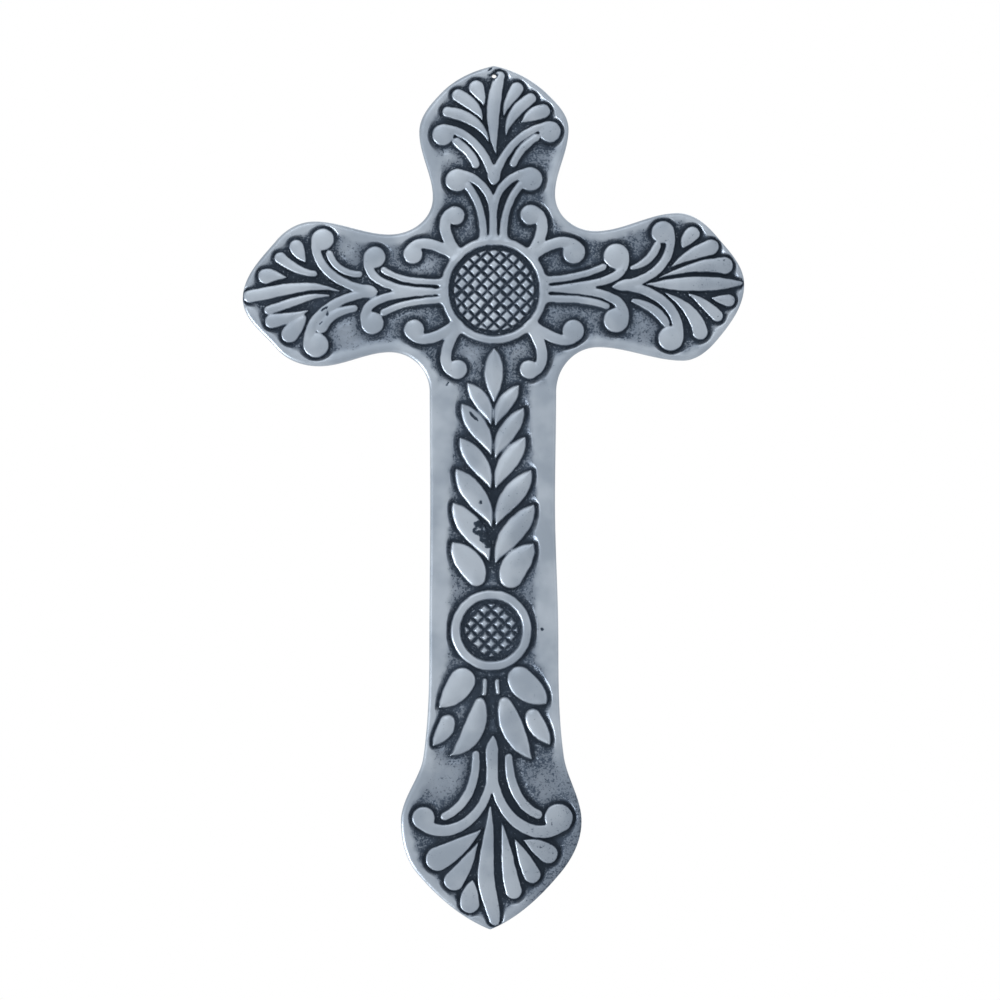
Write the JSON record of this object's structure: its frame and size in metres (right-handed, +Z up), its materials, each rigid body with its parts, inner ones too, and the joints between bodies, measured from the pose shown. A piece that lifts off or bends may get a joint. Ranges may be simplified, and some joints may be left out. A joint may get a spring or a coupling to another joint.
{
  "type": "wall cross",
  "caption": "Cast metal wall cross with lobed ends, carved in low relief with scrolls, palmettes and a leaf spray, hung from a nail hole at the top.",
  "frame": {"origin": "centre of the nail hole, in the plane of the flat back", "axes": "+Z up the long arm, +X to the right of a person facing the cross, +Y out of the back into the wall"},
  "size_m": [0.1776, 0.0058, 0.3059],
  "materials": {
    "cast_metal": "cast, hand-polished on the high points, with a blue-black patina left in the recesses"
  },
  "bodies": {
    "root": {"cross": "cast_metal"}
  },
  "joints": []
}
